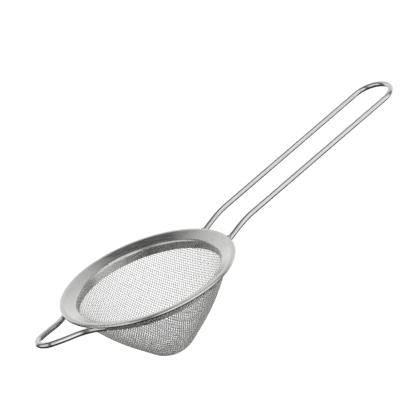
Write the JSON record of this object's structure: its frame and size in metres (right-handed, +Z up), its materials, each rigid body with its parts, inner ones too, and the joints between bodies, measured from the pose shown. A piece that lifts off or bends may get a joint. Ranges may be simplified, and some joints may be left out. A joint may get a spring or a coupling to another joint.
{
  "type": "tea strainer",
  "caption": "Conical fine-mesh strainer: dished rim with a rolled edge, woven wire bowl with a blunt tip, long looped wire handle rising from the rim, and a small wire rest ear opposite.",
  "frame": {"origin": "centre of the rim, 0.54 mm above the middle of its rolled edge", "axes": "+X along the handle, away from the bowl; +Y to the left of it; +Z up, out of the bowl's mouth"},
  "size_m": [0.2246, 0.085, 0.062],
  "materials": {
    "rim_steel": "satin pressed stainless steel",
    "mesh_steel": "woven stainless wire",
    "wire_steel": "bright drawn stainless wire",
    "weld_steel": "dull weld metal"
  },
  "bodies": {
    "root": {"rim_ring": "rim_steel", "mesh_cone": "mesh_steel", "handle_wire": "wire_steel", "ear_wire": "wire_steel", "handle_welds": "weld_steel", "ear_welds": "weld_steel"}
  },
  "joints": []
}
